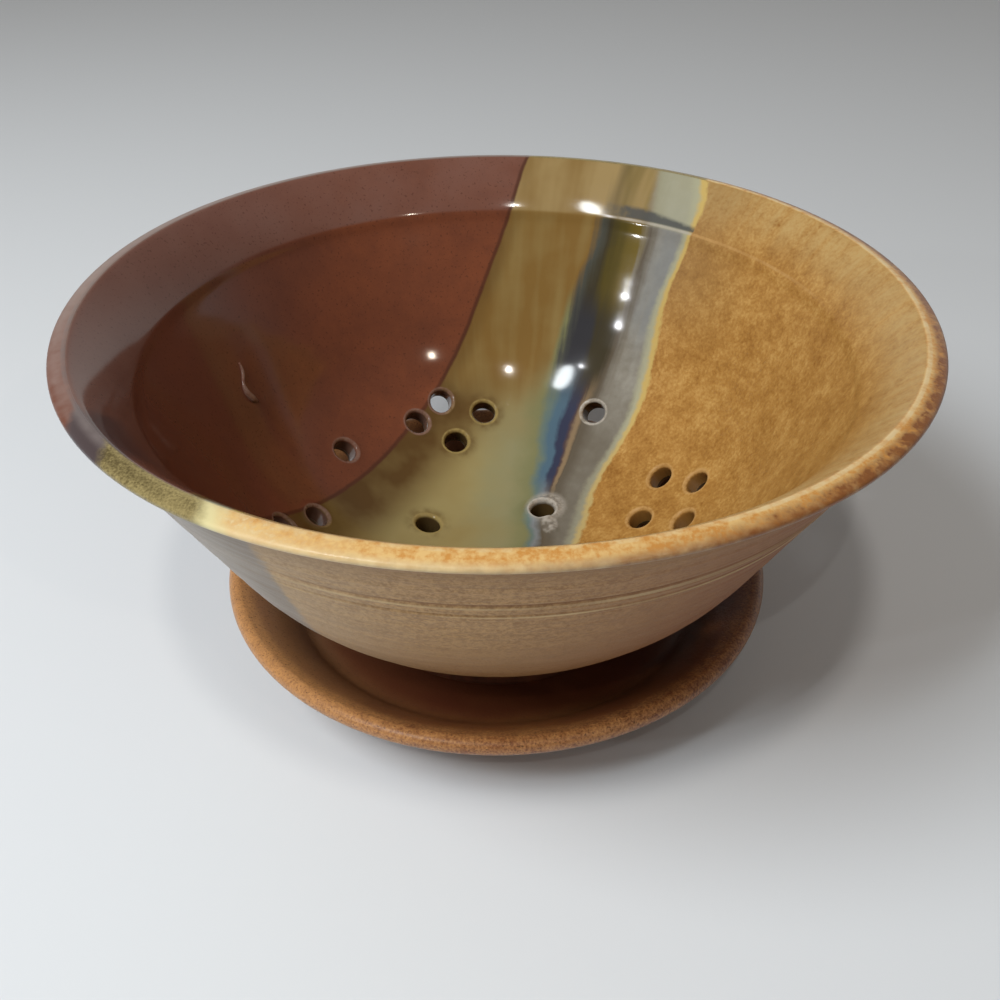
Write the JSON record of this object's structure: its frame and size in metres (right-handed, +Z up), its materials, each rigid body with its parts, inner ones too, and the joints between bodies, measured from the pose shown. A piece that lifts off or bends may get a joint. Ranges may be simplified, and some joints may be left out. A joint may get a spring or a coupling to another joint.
{
  "type": "berry colander bowl",
  "caption": "Thrown stoneware berry bowl with a flared lip, drain holes through its belly and floor, and a foot ring that stands in a separate glazed drip saucer.",
  "frame": {"origin": "centre of the saucer's base, on the surface that the object stands on", "axes": "+Z up the bowl's axis, +Y away from the viewer of the picture, +X to that viewer's right"},
  "size_m": [0.2, 0.2, 0.0976],
  "materials": {
    "bowl_glaze": "glossy and satin overlapping dipped glazes, ochre, olive and iron red",
    "saucer_glaze": "semi-matte rust brown glaze"
  },
  "bodies": {
    "saucer": {"drip_saucer": "saucer_glaze"},
    "bowl": {"colander_bowl": "bowl_glaze"}
  },
  "joints": [
    {"name": "bowl_lift", "type": "slide", "parent": "saucer", "child": "bowl", "axis": [0, 0, 1], "range_m": [0, 0.1]}
  ]
}
